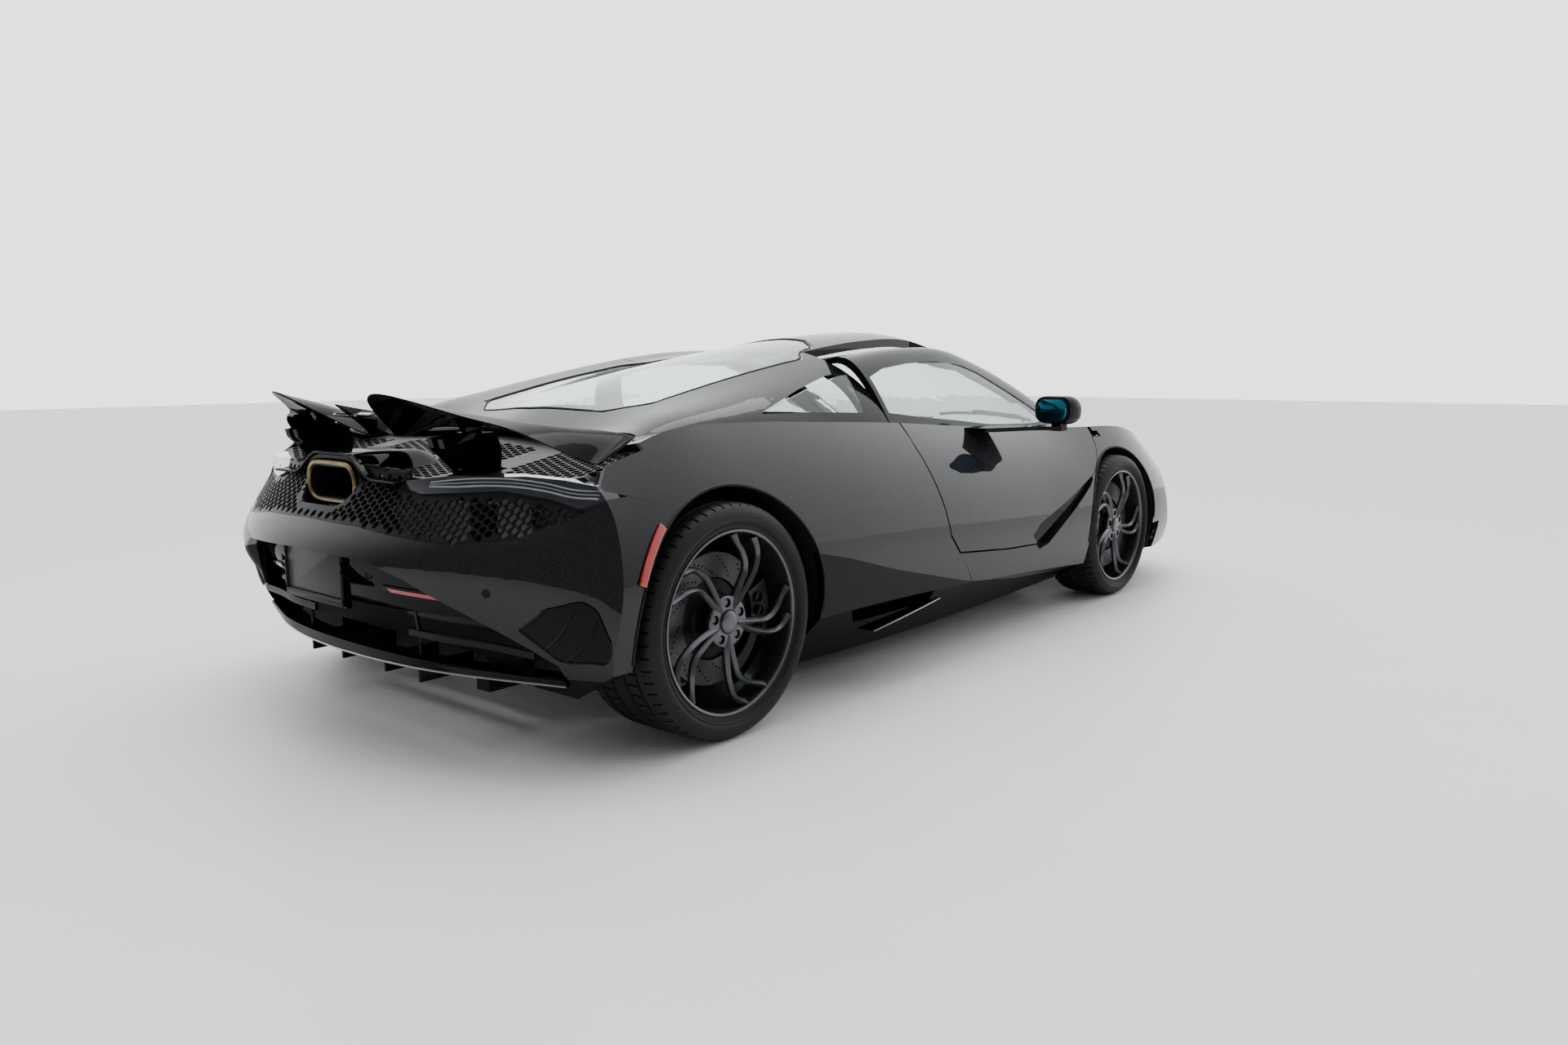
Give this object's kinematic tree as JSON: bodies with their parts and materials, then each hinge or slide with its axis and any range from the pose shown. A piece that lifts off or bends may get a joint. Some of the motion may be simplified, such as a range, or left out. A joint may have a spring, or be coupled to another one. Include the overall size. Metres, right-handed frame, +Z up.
{
  "type": "supercar, mid-engined two-seat coupe",
  "caption": "Low mid-engined two-seat sports coupe with upward-opening doors, raised rear wing and a central exhaust.",
  "frame": {"origin": "on the ground under the middle of the car's overall length and width", "axes": "+X to the nose, +Y to the car's left, +Z up"},
  "size_m": [4.5585, 2.1832, 1.2096],
  "materials": {
    "paint": "gloss",
    "black_composite": "gloss",
    "glass": "clear",
    "lamp_lens": "gloss",
    "exhaust_metal": "satin",
    "cast_alloy": "satin",
    "trim": "matte",
    "carbon_tub": "satin",
    "black_plastic": "matte",
    "wheel_alloy": "satin",
    "rubber": "matte"
  },
  "bodies": {
    "body": {"dashboard": "trim", "deck_mesh": "black_composite", "diffuser": "black_composite", "engine": "cast_alloy", "exhaust_outlet": "exhaust_metal", "front_bumper": "paint", "front_fenders": "paint", "front_grille": "black_composite", "front_suspension": "cast_alloy", "headlamps": "glass", "quarter_glass": "glass", "rear_bumper": "paint", "rear_clamshell": "paint", "rear_fascia_mesh": "black_composite", "rear_glass": "glass", "rear_knuckles": "cast_alloy", "rear_suspension": "cast_alloy", "roof_frame": "paint", "seats": "trim", "side_skirts": "black_composite", "steering_wheel": "trim", "tail_lamps": "lamp_lens", "tub": "carbon_tub", "wheel_liners": "black_plastic", "windscreen": "glass"},
    "bonnet": {"bonnet": "paint"},
    "wing": {"wing": "black_composite"},
    "wing_struts": {"wing_pylons": "black_composite"},
    "door_left": {"door_left": "paint", "door_glass_left": "glass", "mirror_left": "black_composite"},
    "door_right": {"door_right": "paint", "door_glass_right": "glass", "mirror_right": "black_composite"},
    "upright_front_left": {"knuckle_front_left": "cast_alloy"},
    "upright_front_right": {"knuckle_front_right": "cast_alloy"},
    "wheel_front_left": {"rim_front_left": "wheel_alloy", "tyre_front_left": "rubber"},
    "wheel_rear_left": {"rim_rear_left": "wheel_alloy", "tyre_rear_left": "rubber"},
    "wheel_front_right": {"rim_front_right": "wheel_alloy", "tyre_front_right": "rubber"},
    "wheel_rear_right": {"rim_rear_right": "wheel_alloy", "tyre_rear_right": "rubber"}
  },
  "joints": [
    {"name": "door_left_hinge", "type": "hinge", "parent": "body", "child": "door_left", "pos_m": [1.132, 0.822, 0.732], "axis": [-0.106, 0.6593, -0.7444], "range_deg": [0, 65]},
    {"name": "door_right_hinge", "type": "hinge", "parent": "body", "child": "door_right", "pos_m": [1.132, -0.822, 0.732], "axis": [0.106, 0.6593, 0.7444], "range_deg": [0, 65]},
    {"name": "bonnet_hinge", "type": "hinge", "parent": "body", "child": "bonnet", "pos_m": [1.258, 0, 0.728], "axis": [0, -1, 0], "range_deg": [0, 60]},
    {"name": "wing_raise", "type": "slide", "parent": "body", "child": "wing_struts", "axis": [0, 0, 1], "range_m": [0, 0.06]},
    {"name": "wing_tilt", "type": "hinge", "parent": "wing_struts", "child": "wing", "pos_m": [-1.935, 0, 0.872], "axis": [0, 1, 0], "range_deg": [0, 10]},
    {"name": "steer_left", "type": "hinge", "parent": "body", "child": "upright_front_left", "pos_m": [1.2005, 0.825, 0.327], "axis": [0, 0, 1], "range_deg": [-28, 28]},
    {"name": "steer_right", "type": "hinge", "parent": "body", "child": "upright_front_right", "pos_m": [1.2005, -0.825, 0.327], "axis": [0, 0, 1], "range_deg": [-28, 28]},
    {"name": "roll_front_left", "type": "hinge", "parent": "upright_front_left", "child": "wheel_front_left", "pos_m": [1.2005, 0.837, 0.327], "axis": [0, 1, 0], "continuous": true},
    {"name": "roll_rear_left", "type": "hinge", "parent": "body", "child": "wheel_rear_left", "pos_m": [-1.4695, 0.8145, 0.3455], "axis": [0, 1, 0], "continuous": true},
    {"name": "roll_front_right", "type": "hinge", "parent": "upright_front_right", "child": "wheel_front_right", "pos_m": [1.2005, -0.837, 0.327], "axis": [0, 1, 0], "continuous": true},
    {"name": "roll_rear_right", "type": "hinge", "parent": "body", "child": "wheel_rear_right", "pos_m": [-1.4695, -0.8145, 0.3455], "axis": [0, 1, 0], "continuous": true}
  ],
  "couplings": [
    {"joint": "steer_right", "follows": "steer_left", "ratio": 1},
    {"joint": "wing_tilt", "follows": "wing_raise", "rad_per_m": 2.9}
  ]
}
